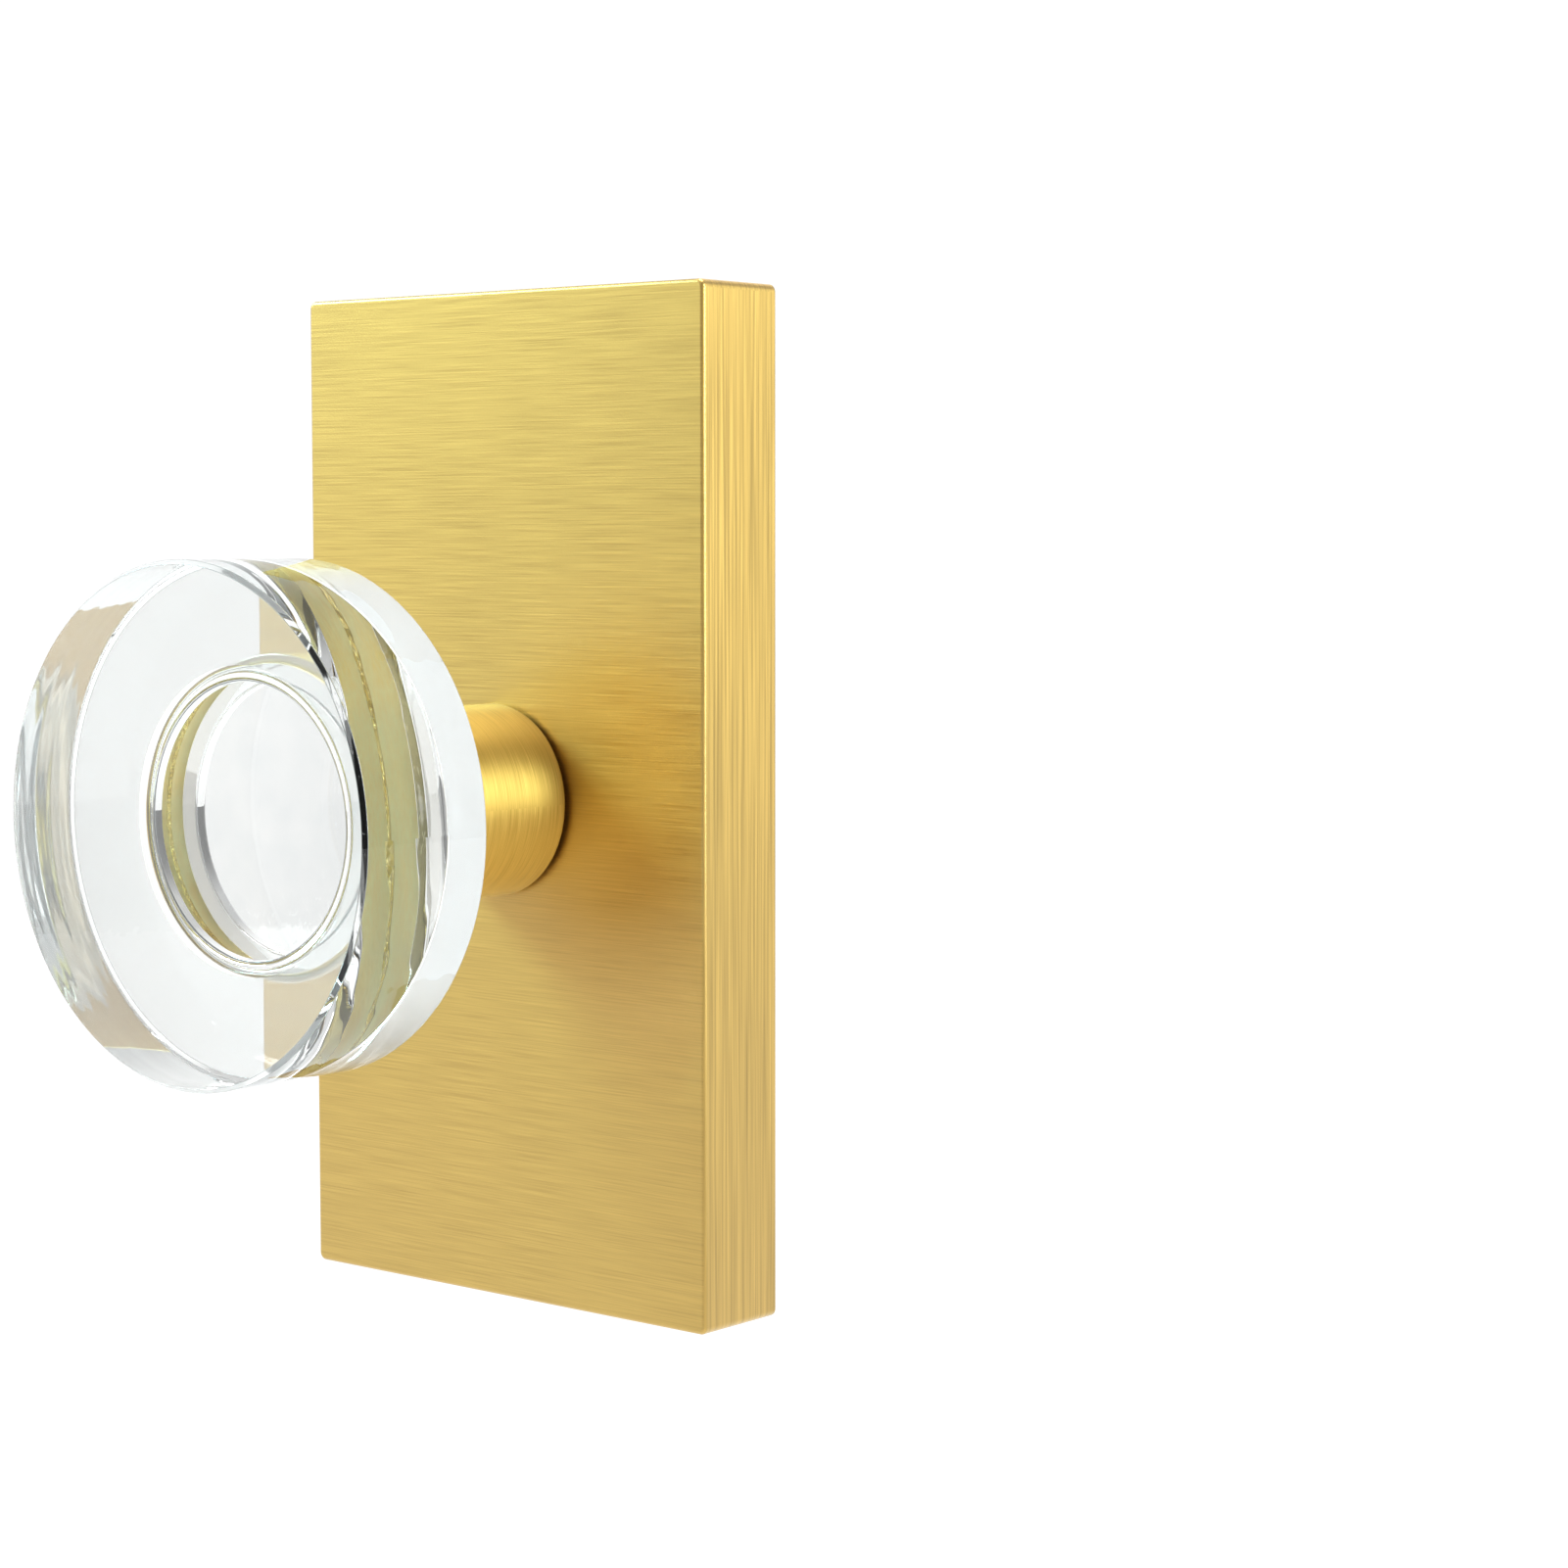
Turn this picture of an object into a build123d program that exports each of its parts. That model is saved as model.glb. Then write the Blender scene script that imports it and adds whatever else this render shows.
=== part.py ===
from build123d import *
import math
import os

os.makedirs("parts", exist_ok=True)

# A turning glass door knob on a rectangular brass cover plate, with its return spring,
# spindle and fixing posts. Millimetres. The knob turns about the Y axis. +Y points into
# the door, and the door face is the plane Y = 0. Distances called OUT run from the door
# face towards the hand, along -Y, and distances called IN run into the door.

FACE = Plane.XZ
SIDE = Plane(origin=(0, 0, 0), x_dir=(1, 0, 0), z_dir=(0, 0, -1))

# ------------------------------------------------------------------ driving dimensions

# Cover plate: a tray, open towards the door.
PLATE_WIDTH = 68.0
PLATE_HEIGHT = 127.0
PLATE_DEPTH = 13.5
PLATE_FRONT_WALL = 2.5
PLATE_SIDE_WALL = 2.2
PLATE_CORNER_R = 1.0
PLATE_INNER_CORNER_R = 0.6
PLATE_EDGE_BEVEL = 0.4

# Glass: a thick disc with a waisted foot behind it.
GLASS_R = 30.5
GLASS_THICK = 19.2
GLASS_REACH = 33.0
GLASS_EDGE_BEVEL = 0.6
FOOT_R = 18.3
FOOT_LENGTH = 9.3
FOOT_SEAT = 4.4
WAIST_R = 16.3
WAIST_FILLET = 2.0
WAIST_SLOPE = 0.8
MIRROR_THICK = 0.15
MIRROR_INSET = 0.1

# Neck: a turned cup on a round tube.
NECK_R = 12.1
NECK_GAP = 0.5
NECK_END_ROUND = 0.6
CUP_WALL = 0.9
CUP_DEPTH = 4.2
CUP_FLOOR = 2.0
CUP_ROUND = 1.2
NECK_WEB = 4.0
NECK_JOIN_ROUND = 1.5

# Shank: the steel core that carries the neck, turns in the bushes and drives the spindle.
SHANK_R = 7.5
SHANK_FLAT_DEPTH = 0.9
SHANK_TAIL = 9.0
SHANK_KEY = 6.0

# Square spindle and its cross pin.
SPINDLE_SIDE = 8.0
SPINDLE_HEAD_OUT = 8.0
SPINDLE_END_IN = 34.0
SPINDLE_CHAMFER = 0.8
SPINDLE_PIN_R = 1.5
SPINDLE_PIN_IN = 6.9

# Mounting plate: flat steel with a folded tab at each end.
MOUNT_THICK = 2.5
MOUNT_SIDE_GAP = 1.8
TAB_WIDTH = 30.0
TAB_CLEARANCE = 1.0
TAB_CORNER = 2.0
CATCH_WIDTH = 12.0
CATCH_THICK = 2.0
CATCH_REACH = 1.2
CATCH_OUT = 5.5

# Posts that pass through the door above and below the latch, to the plate on its other side.
POST_SPACING = 38.0
POST_R = 4.0
POST_LENGTH = 30.0
POST_BORE_R = 2.1
POST_TENON_R = 3.2
POST_RIVET_R = 3.8
POST_CHAMFER = 0.5

# Spring housing: a pressed cup with two ears, riveted to the mounting plate.
HOUSING_SHEET = 1.1
HOUSING_ROUND = 0.9
EAR_LENGTH = 4.0
EAR_WIDTH = 7.0
RIVET_R = 1.5
RIVET_HEAD_R = 2.6
RIVET_HEAD_HEIGHT = 0.9

# Bushes that the shank turns in.
BUSH_BORE_CLEARANCE = 0.05
FRONT_BUSH_WALL = 2.85
FRONT_BUSH_LIP = 2.4
FRONT_BUSH_FLANGE = 0.8
FRONT_BUSH_SINK = 0.2
REAR_BUSH_WALL = 1.35
REAR_BUSH_LIP = 2.6
REAR_BUSH_FLANGE = 1.5

# Drive hub, its thrust washer, the stops and the return spring.
HUB_GAP = 0.4
HUB_WALL = 1.5
HUB_FLANGE = 1.3
LUG_WIDTH = 4.0
LUG_CLEARANCE = 0.4
THRUST_WASHER_WIDTH = 2.8
THRUST_WASHER_THICK = 0.4
STOP_PIN_R = 1.0
STOP_PIN_GAP = 0.3
STOP_PIN_BACK_GAP = 0.2
TURN_RANGE = 60.0
STOP_SLACK = 1.0
SPRING_WIRE_R = 0.6
SPRING_TURNS = 2.4
SPRING_SIDE_GAP = 0.5
SPRING_END_GAP = 0.2
SPRING_RIM_GAP = 0.3

# What keeps the shank from being pulled out.
WASHER_WIDTH = 3.4
WASHER_THICK = 1.0
DISC_SPRING_WIDTH = 3.2
DISC_SPRING_THICK = 0.5
DISC_SPRING_RISE = 1.4
CIRCLIP_WIDTH = 2.5
CIRCLIP_GROOVE = 0.6
CIRCLIP_THICK = 1.0
CIRCLIP_GAP = 6.0
CIRCLIP_EYE_R = 0.6
CIRCLIP_EYE_ANGLE = 36.0

# Screws.
NECK_SCREW_R = 2.5
NECK_SCREW_HEAD_R = 4.6
NECK_SCREW_HEAD = 2.4
NECK_SCREW_LENGTH = 15.0
NECK_SCREW_SOCKET = 1.7
NECK_SCREW_SOCKET_DEPTH = 1.8
SET_SCREW_R = 2.0
SET_SCREW_LENGTH = 6.6
SET_SCREW_OUT = 6.0
SET_SCREW_SINK = 0.4
SET_SCREW_SOCKET = 1.15
SET_SCREW_SOCKET_DEPTH = 2.0
SOCKET_SIDES = 6

# Clearances.
FIT = 0.05
SLIDE = 0.1
SCREW_CLEARANCE = 0.2
CUP_CLEARANCE = 0.2
COVER_CLEARANCE = 0.3
WIRE_CLEARANCE = 0.15

# ------------------------------------------------------------------ derived places

PLATE_INSIDE = PLATE_DEPTH - PLATE_FRONT_WALL
GLASS_BACK = PLATE_DEPTH + GLASS_REACH
GLASS_FRONT = GLASS_BACK + GLASS_THICK
FOOT_END = GLASS_BACK - FOOT_LENGTH
CUP_R = FOOT_R + CUP_CLEARANCE
CUP_OUTER_R = CUP_R + CUP_WALL
CUP_FLOOR_OUT = FOOT_END - MIRROR_THICK
CUP_BOTTOM = CUP_FLOOR_OUT - CUP_FLOOR
CUP_RIM = CUP_FLOOR_OUT + CUP_DEPTH
NECK_START = PLATE_DEPTH + NECK_GAP

SHANK_TOP = CUP_FLOOR_OUT - NECK_WEB
SHANK_KEY_START = SHANK_TOP - SHANK_KEY
SHANK_FLATS = 2 * (SHANK_R - SHANK_FLAT_DEPTH)
BUSH_BORE_R = SHANK_R + BUSH_BORE_CLEARANCE
FRONT_BUSH_R = BUSH_BORE_R + FRONT_BUSH_WALL
FRONT_BUSH_FLANGE_R = FRONT_BUSH_R + FRONT_BUSH_LIP
REAR_BUSH_R = BUSH_BORE_R + REAR_BUSH_WALL
REAR_BUSH_FLANGE_R = REAR_BUSH_R + REAR_BUSH_LIP

# The stack inside the cover, from the bush down to the mounting plate.
HOUSING_TOP = PLATE_INSIDE - FRONT_BUSH_FLANGE - SLIDE
HOUSING_RISE = HOUSING_TOP - MOUNT_THICK
HOUSING_INSIDE = HOUSING_TOP - HOUSING_SHEET
HUB_TOP = HOUSING_INSIDE - THRUST_WASHER_THICK - 2 * FIT
HUB_FLANGE_START = HUB_TOP - HUB_FLANGE
HUB_START = MOUNT_THICK + HUB_GAP
HUB_SLEEVE = HUB_FLANGE_START - HUB_START
SPRING_START = MOUNT_THICK + SPRING_END_GAP + SPRING_WIRE_R
SPRING_HEIGHT = HUB_FLANGE_START - SPRING_END_GAP - SPRING_WIRE_R - SPRING_START

# The rings inside the housing, from the shank outwards.
HUB_R = SHANK_R + HUB_WALL
SPRING_R = HUB_R + SPRING_SIDE_GAP + SPRING_WIRE_R
HUB_FLANGE_R = SPRING_R + SPRING_WIRE_R + SPRING_RIM_GAP
STOP_PIN_CENTRE = HUB_FLANGE_R + STOP_PIN_GAP + STOP_PIN_R
HOUSING_BORE_R = STOP_PIN_CENTRE + STOP_PIN_R + STOP_PIN_BACK_GAP
HOUSING_R = HOUSING_BORE_R + HOUSING_SHEET
EAR_REACH = HOUSING_R + EAR_LENGTH
LUG_R = HOUSING_BORE_R - LUG_CLEARANCE

MOUNT_HEIGHT = PLATE_HEIGHT - 2 * (PLATE_SIDE_WALL + COVER_CLEARANCE)
MOUNT_WIDTH = PLATE_WIDTH - 2 * (PLATE_SIDE_WALL + MOUNT_SIDE_GAP)
TAB_RISE = PLATE_INSIDE - MOUNT_THICK - TAB_CLEARANCE
COVER_INNER_TOP = PLATE_HEIGHT / 2 - PLATE_SIDE_WALL
WASHER_FRONT = -REAR_BUSH_FLANGE
WASHER_BACK = WASHER_FRONT - WASHER_THICK
DISC_SPRING_BACK = WASHER_BACK - DISC_SPRING_RISE
CIRCLIP_BACK = DISC_SPRING_BACK - CIRCLIP_THICK
RING_BORE_R = SHANK_R + SLIDE
CIRCLIP_SEAT_R = SHANK_R - CIRCLIP_GROOVE
CIRCLIP_R = CIRCLIP_SEAT_R + CIRCLIP_WIDTH
CONTACT_ANGLE = math.degrees(math.asin((LUG_WIDTH / 2 + STOP_PIN_R) / STOP_PIN_CENTRE))
STOP_ANGLE = TURN_RANGE + CONTACT_ANGLE + STOP_SLACK
LUG_DIRECTION = 90.0
POST_PLACES = [(0, side * POST_SPACING / 2) for side in (-1, 1)]
RIVET_PLACES = [(side * EAR_REACH, 0) for side in (-1, 1)]
STOP_PLACES = [
    (
        STOP_PIN_CENTRE * math.cos(math.radians(LUG_DIRECTION + side * STOP_ANGLE)),
        STOP_PIN_CENTRE * math.sin(math.radians(LUG_DIRECTION + side * STOP_ANGLE)),
    )
    for side in (-1, 1)
]


def double_d(radius, across):
    """A circle with two flats, the section that turns the hub and the neck."""
    with BuildSketch(mode=Mode.PRIVATE) as section:
        Circle(radius)
        Rectangle(across, 2 * radius, mode=Mode.INTERSECT)
    return section.sketch


def corner(sketch, radius, out):
    """The profile vertex nearest to a point given as radius and distance out."""
    return sketch.vertices().sort_by_distance((radius, out, 0))[0]


# ------------------------------------------------------------------ return spring wire line

with BuildLine() as spring_line:
    Helix(
        pitch=SPRING_HEIGHT / SPRING_TURNS,
        height=SPRING_HEIGHT,
        radius=SPRING_R,
        center=(0, -SPRING_START, 0),
        direction=(0, -1, 0),
    )
SPRING_FOOT = spring_line.line @ 0
SPRING_HEAD = spring_line.line @ 1

# ------------------------------------------------------------------ cover plate

with BuildPart() as cover_plate:
    with BuildSketch(FACE):
        RectangleRounded(PLATE_WIDTH, PLATE_HEIGHT, PLATE_CORNER_R)
    extrude(amount=PLATE_DEPTH)
    chamfer(cover_plate.faces().sort_by(Axis.Y)[0].edges(), PLATE_EDGE_BEVEL)
    # the hollow, open towards the door
    with BuildSketch(FACE):
        RectangleRounded(
            PLATE_WIDTH - 2 * PLATE_SIDE_WALL,
            PLATE_HEIGHT - 2 * PLATE_SIDE_WALL,
            PLATE_INNER_CORNER_R,
        )
    extrude(amount=PLATE_INSIDE, mode=Mode.SUBTRACT)
    # seat of the front bush
    with BuildSketch(FACE):
        Circle(FRONT_BUSH_R + FIT)
    extrude(amount=PLATE_DEPTH, mode=Mode.SUBTRACT)
    # hole of the set screw in the lower edge
    with BuildSketch(Plane.XY.offset(-PLATE_HEIGHT / 2)):
        with Locations((0, -SET_SCREW_OUT)):
            Circle(SET_SCREW_R + SCREW_CLEARANCE)
    extrude(amount=PLATE_SIDE_WALL, mode=Mode.SUBTRACT)
    # pocket for the catch in the upper edge
    with BuildSketch(Plane.XY.offset(COVER_INNER_TOP)):
        with Locations((0, -CATCH_OUT)):
            Rectangle(CATCH_WIDTH + 2 * COVER_CLEARANCE, CATCH_THICK + 2 * COVER_CLEARANCE)
    extrude(amount=CATCH_REACH - COVER_CLEARANCE + SLIDE, mode=Mode.SUBTRACT)
cover_plate.part.label = "cover_plate"
export_step(cover_plate.part, "parts/cover_plate.step")

# ------------------------------------------------------------------ mounting plate

with BuildPart() as mounting_plate:
    with BuildSketch(FACE):
        Rectangle(MOUNT_WIDTH, MOUNT_HEIGHT)
        Circle(REAR_BUSH_R + FIT, mode=Mode.SUBTRACT)
        with Locations(*RIVET_PLACES):
            Circle(RIVET_R + FIT, mode=Mode.SUBTRACT)
        with Locations(*STOP_PLACES):
            Circle(STOP_PIN_R + FIT, mode=Mode.SUBTRACT)
        with Locations((SPRING_FOOT.X, SPRING_FOOT.Z)):
            Circle(SPRING_WIRE_R + WIRE_CLEARANCE, mode=Mode.SUBTRACT)
    extrude(amount=MOUNT_THICK)
    # seats of the posts, wider at the front where their ends are riveted over
    for place in POST_PLACES:
        with BuildSketch(FACE):
            with Locations(place):
                Circle(POST_TENON_R + FIT)
        with BuildSketch(FACE.offset(MOUNT_THICK)):
            with Locations(place):
                Circle(POST_RIVET_R + FIT)
        loft(mode=Mode.SUBTRACT)
    # the folded tabs
    with BuildSketch(FACE.offset(MOUNT_THICK)):
        with Locations(*[(0, end * (MOUNT_HEIGHT - MOUNT_THICK) / 2) for end in (-1, 1)]):
            Rectangle(TAB_WIDTH, MOUNT_THICK)
    extrude(amount=TAB_RISE)
    fillet(mounting_plate.edges().filter_by(Axis.Z).group_by(Axis.Y)[0], TAB_CORNER)
    # the catch that holds the upper edge of the cover
    with BuildSketch(Plane.XY.offset(MOUNT_HEIGHT / 2)):
        with Locations((0, -CATCH_OUT)):
            Rectangle(CATCH_WIDTH, CATCH_THICK)
    extrude(amount=CATCH_REACH)
    # thread of the set screw in the lower tab
    with BuildSketch(Plane.XY.offset(-MOUNT_HEIGHT / 2)):
        with Locations((0, -SET_SCREW_OUT)):
            Circle(SET_SCREW_R + FIT)
    extrude(amount=MOUNT_THICK, mode=Mode.SUBTRACT)
mounting_plate.part.label = "mounting_plate"
export_step(mounting_plate.part, "parts/mounting_plate.step")

# ------------------------------------------------------------------ cover set screw

with BuildPart() as cover_set_screw:
    with BuildSketch(Plane.XY.offset(SET_SCREW_SINK - PLATE_HEIGHT / 2)):
        with Locations((0, -SET_SCREW_OUT)):
            Circle(SET_SCREW_R)
    extrude(amount=SET_SCREW_LENGTH)
    with BuildSketch(Plane.XY.offset(SET_SCREW_SINK - PLATE_HEIGHT / 2)):
        with Locations((0, -SET_SCREW_OUT)):
            RegularPolygon(SET_SCREW_SOCKET, SOCKET_SIDES)
    extrude(amount=SET_SCREW_SOCKET_DEPTH, mode=Mode.SUBTRACT)
cover_set_screw.part.label = "cover_set_screw"
export_step(cover_set_screw.part, "parts/cover_set_screw.step")

# ------------------------------------------------------------------ posts


def threaded_post(place):
    """A round post, threaded right through, with its end riveted over in the mounting plate."""
    with BuildPart() as post:
        with BuildSketch(FACE.offset(-POST_LENGTH)):
            with Locations(place):
                Circle(POST_R)
        extrude(amount=POST_LENGTH)
        chamfer(post.edges().sort_by(Axis.Y)[-1], POST_CHAMFER)
        with BuildSketch(FACE):
            with Locations(place):
                Circle(POST_TENON_R)
        with BuildSketch(FACE.offset(MOUNT_THICK)):
            with Locations(place):
                Circle(POST_RIVET_R)
        loft()
        with BuildSketch(FACE.offset(-POST_LENGTH)):
            with Locations(place):
                Circle(POST_BORE_R)
        extrude(amount=POST_LENGTH + MOUNT_THICK, mode=Mode.SUBTRACT)
    return post


post_lower = threaded_post(POST_PLACES[0])
post_lower.part.label = "post_lower"
export_step(post_lower.part, "parts/post_lower.step")

post_upper = threaded_post(POST_PLACES[1])
post_upper.part.label = "post_upper"
export_step(post_upper.part, "parts/post_upper.step")

# ------------------------------------------------------------------ spring housing

with BuildPart() as spring_housing:
    with BuildSketch(FACE.offset(MOUNT_THICK)):
        Circle(HOUSING_R)
    extrude(amount=HOUSING_RISE)
    fillet(spring_housing.edges().sort_by(Axis.Y)[0], HOUSING_ROUND)
    with BuildSketch(FACE.offset(MOUNT_THICK)):
        SlotCenterToCenter(2 * EAR_REACH, EAR_WIDTH)
    extrude(amount=HOUSING_SHEET)
    with BuildSketch(FACE.offset(MOUNT_THICK)):
        Circle(HOUSING_BORE_R)
    extrude(amount=HOUSING_RISE - HOUSING_SHEET, mode=Mode.SUBTRACT)
    with BuildSketch(FACE.offset(MOUNT_THICK)):
        Circle(SHANK_R + COVER_CLEARANCE)
    extrude(amount=HOUSING_RISE, mode=Mode.SUBTRACT)
    with BuildSketch(FACE.offset(MOUNT_THICK)):
        with Locations(*RIVET_PLACES):
            Circle(RIVET_R + FIT)
    extrude(amount=HOUSING_SHEET, mode=Mode.SUBTRACT)
spring_housing.part.label = "spring_housing"
export_step(spring_housing.part, "parts/spring_housing.step")

# ------------------------------------------------------------------ housing rivets

with BuildPart() as housing_rivets:
    with BuildSketch(FACE):
        with Locations(*RIVET_PLACES):
            Circle(RIVET_R)
    extrude(amount=MOUNT_THICK + HOUSING_SHEET)
    with BuildSketch(FACE.offset(MOUNT_THICK + HOUSING_SHEET)):
        with Locations(*RIVET_PLACES):
            Circle(RIVET_HEAD_R)
    extrude(amount=RIVET_HEAD_HEIGHT)
    chamfer(housing_rivets.edges().group_by(Axis.Y)[0], RIVET_HEAD_HEIGHT / 2)
housing_rivets.part.label = "housing_rivets"
export_step(housing_rivets.part, "parts/housing_rivets.step")

# ------------------------------------------------------------------ stop pins

with BuildPart() as stop_pins:
    with BuildSketch(FACE):
        with Locations(*STOP_PLACES):
            Circle(STOP_PIN_R)
    extrude(amount=HOUSING_INSIDE - SLIDE)
stop_pins.part.label = "stop_pins"
export_step(stop_pins.part, "parts/stop_pins.step")

# ------------------------------------------------------------------ bushes

with BuildPart() as front_bush:
    with BuildSketch(FACE.offset(PLATE_INSIDE - FRONT_BUSH_FLANGE)):
        Circle(FRONT_BUSH_FLANGE_R)
    extrude(amount=FRONT_BUSH_FLANGE)
    with BuildSketch(FACE.offset(PLATE_INSIDE)):
        Circle(FRONT_BUSH_R)
    extrude(amount=PLATE_FRONT_WALL - FRONT_BUSH_SINK)
    with BuildSketch(FACE.offset(PLATE_INSIDE - FRONT_BUSH_FLANGE)):
        Circle(BUSH_BORE_R)
    extrude(amount=FRONT_BUSH_FLANGE + PLATE_FRONT_WALL, mode=Mode.SUBTRACT)
front_bush.part.label = "front_bush"
export_step(front_bush.part, "parts/front_bush.step")

with BuildPart() as rear_bush:
    with BuildSketch(FACE.offset(-REAR_BUSH_FLANGE)):
        Circle(REAR_BUSH_FLANGE_R)
    extrude(amount=REAR_BUSH_FLANGE)
    with BuildSketch(FACE):
        Circle(REAR_BUSH_R)
    extrude(amount=MOUNT_THICK)
    with BuildSketch(FACE.offset(-REAR_BUSH_FLANGE)):
        Circle(BUSH_BORE_R)
    extrude(amount=REAR_BUSH_FLANGE + MOUNT_THICK, mode=Mode.SUBTRACT)
rear_bush.part.label = "rear_bush"
export_step(rear_bush.part, "parts/rear_bush.step")

# ------------------------------------------------------------------ thrust washer

with BuildPart() as thrust_washer:
    with BuildSketch(FACE.offset(HUB_TOP + FIT)):
        Circle(SHANK_R + COVER_CLEARANCE + THRUST_WASHER_WIDTH)
        Circle(SHANK_R + COVER_CLEARANCE, mode=Mode.SUBTRACT)
    extrude(amount=THRUST_WASHER_THICK)
thrust_washer.part.label = "thrust_washer"
export_step(thrust_washer.part, "parts/thrust_washer.step")

# ------------------------------------------------------------------ drive hub

with BuildPart() as drive_hub:
    with BuildSketch(FACE.offset(HUB_START)):
        Circle(HUB_R)
    extrude(amount=HUB_SLEEVE)
    with BuildSketch(FACE.offset(HUB_FLANGE_START)):
        Rectangle(LUG_WIDTH, LUG_R, align=(Align.CENTER, Align.MIN))
        Circle(LUG_R, mode=Mode.INTERSECT)
        Circle(HUB_FLANGE_R)
    extrude(amount=HUB_FLANGE)
    with BuildSketch(FACE.offset(HUB_START)):
        add(double_d(SHANK_R + FIT, SHANK_FLATS + 2 * FIT))
    extrude(amount=HUB_SLEEVE + HUB_FLANGE, mode=Mode.SUBTRACT)
    # hole for the upper end of the spring
    with BuildSketch(FACE.offset(HUB_FLANGE_START)):
        with Locations((SPRING_HEAD.X, SPRING_HEAD.Z)):
            Circle(SPRING_WIRE_R + WIRE_CLEARANCE)
    extrude(amount=HUB_FLANGE, mode=Mode.SUBTRACT)
drive_hub.part.label = "drive_hub"
export_step(drive_hub.part, "parts/drive_hub.step")

# ------------------------------------------------------------------ return spring

with BuildPart() as return_spring:
    add(spring_line.line)
    with BuildSketch(Plane(origin=SPRING_FOOT, z_dir=spring_line.line % 0)):
        Circle(SPRING_WIRE_R)
    sweep(is_frenet=True)
    # the lower end, bent into the mounting plate
    with BuildSketch(Plane(origin=SPRING_FOOT, x_dir=(1, 0, 0), z_dir=(0, 1, 0))):
        Circle(SPRING_WIRE_R)
    extrude(amount=SPRING_START - MOUNT_THICK / 2)
    # the upper end, bent into the hub
    with BuildSketch(Plane(origin=SPRING_HEAD, x_dir=(1, 0, 0), z_dir=(0, -1, 0))):
        Circle(SPRING_WIRE_R)
    extrude(amount=HUB_TOP - SPRING_START - SPRING_HEIGHT)
    with Locations(SPRING_FOOT, SPRING_HEAD):
        Sphere(SPRING_WIRE_R)
return_spring.part.label = "return_spring"
export_step(return_spring.part, "parts/return_spring.step")

# ------------------------------------------------------------------ shank

with BuildPart() as shank:
    with BuildSketch(FACE.offset(-SHANK_TAIL)):
        add(double_d(SHANK_R, SHANK_FLATS))
    extrude(amount=SHANK_TAIL + HUB_TOP)
    with BuildSketch(FACE.offset(HUB_TOP)):
        Circle(SHANK_R)
    extrude(amount=SHANK_KEY_START - HUB_TOP)
    with BuildSketch(FACE.offset(SHANK_KEY_START)):
        add(double_d(SHANK_R, SHANK_FLATS))
    extrude(amount=SHANK_KEY)
    # square socket of the spindle
    with BuildSketch(FACE.offset(-SHANK_TAIL)):
        Rectangle(SPINDLE_SIDE + 2 * FIT, SPINDLE_SIDE + 2 * FIT)
    extrude(amount=SHANK_TAIL + SPINDLE_HEAD_OUT + FIT, mode=Mode.SUBTRACT)
    # thread of the neck screw
    with BuildSketch(FACE.offset(SHANK_TOP - NECK_SCREW_LENGTH)):
        Circle(NECK_SCREW_R + FIT)
    extrude(amount=NECK_SCREW_LENGTH, mode=Mode.SUBTRACT)
    # circlip groove
    with BuildSketch(FACE.offset(CIRCLIP_BACK - SLIDE)):
        Circle(SHANK_R + SLIDE)
        Circle(CIRCLIP_SEAT_R, mode=Mode.SUBTRACT)
    extrude(amount=CIRCLIP_THICK + SLIDE, mode=Mode.SUBTRACT)
    # cross hole of the spindle pin
    with BuildSketch(Plane.YZ):
        with Locations((SPINDLE_PIN_IN, 0)):
            Circle(SPINDLE_PIN_R + FIT)
    extrude(amount=SHANK_R, both=True, mode=Mode.SUBTRACT)
shank.part.label = "shank"
export_step(shank.part, "parts/shank.step")

# ------------------------------------------------------------------ spindle and its pin

with BuildPart() as spindle:
    with BuildSketch(FACE.offset(-SPINDLE_END_IN)):
        Rectangle(SPINDLE_SIDE, SPINDLE_SIDE)
    extrude(amount=SPINDLE_END_IN + SPINDLE_HEAD_OUT)
    chamfer(spindle.faces().sort_by(Axis.Y)[-1].edges(), SPINDLE_CHAMFER)
    with BuildSketch(Plane.YZ):
        with Locations((SPINDLE_PIN_IN, 0)):
            Circle(SPINDLE_PIN_R + FIT)
    extrude(amount=SPINDLE_SIDE, both=True, mode=Mode.SUBTRACT)
spindle.part.label = "spindle"
export_step(spindle.part, "parts/spindle.step")

with BuildPart() as spindle_pin:
    with BuildSketch(Plane.YZ):
        with Locations((SPINDLE_PIN_IN, 0)):
            Circle(SPINDLE_PIN_R)
    extrude(amount=SHANK_FLATS / 2 - SLIDE, both=True)
spindle_pin.part.label = "spindle_pin"
export_step(spindle_pin.part, "parts/spindle_pin.step")

# ------------------------------------------------------------------ what holds the shank in

with BuildPart() as rear_washer:
    with BuildSketch(FACE.offset(WASHER_BACK)):
        Circle(RING_BORE_R + WASHER_WIDTH)
        Circle(RING_BORE_R, mode=Mode.SUBTRACT)
    extrude(amount=WASHER_THICK)
rear_washer.part.label = "rear_washer"
export_step(rear_washer.part, "parts/rear_washer.step")

with BuildPart() as disc_spring:
    with BuildSketch(SIDE):
        with BuildLine():
            Polyline(
                (RING_BORE_R, DISC_SPRING_BACK),
                (RING_BORE_R + DISC_SPRING_WIDTH, WASHER_BACK - DISC_SPRING_THICK),
                (RING_BORE_R + DISC_SPRING_WIDTH, WASHER_BACK),
                (RING_BORE_R, DISC_SPRING_BACK + DISC_SPRING_THICK),
                close=True,
            )
        make_face()
    revolve(axis=Axis.Y)
disc_spring.part.label = "disc_spring"
export_step(disc_spring.part, "parts/disc_spring.step")

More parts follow.
